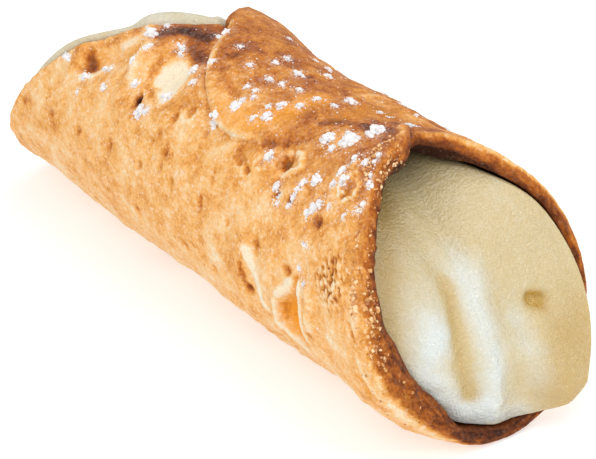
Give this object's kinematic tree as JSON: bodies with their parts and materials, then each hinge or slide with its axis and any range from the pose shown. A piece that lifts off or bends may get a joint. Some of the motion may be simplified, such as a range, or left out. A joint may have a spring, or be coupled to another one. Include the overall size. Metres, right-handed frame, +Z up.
{
  "type": "cannoli",
  "caption": "Fried pastry tube with slanted ends and an overlapping flap, filled with cream that shows at both ends and topped with clumps of sugar.",
  "frame": {"origin": "centre of the bounding box at the surface the pastry lies on", "axes": "+X along the tube towards its wide mouth, +Z up, -Y towards the side that shows the whole front of the tube"},
  "size_m": [0.1228, 0.0438, 0.044],
  "materials": {
    "shell": "fried pastry, dry and blistered, dusted with powdered sugar",
    "cream": "smooth moist ricotta cream"
  },
  "bodies": {
    "root": {"shell": "shell", "cream": "cream"}
  },
  "joints": []
}
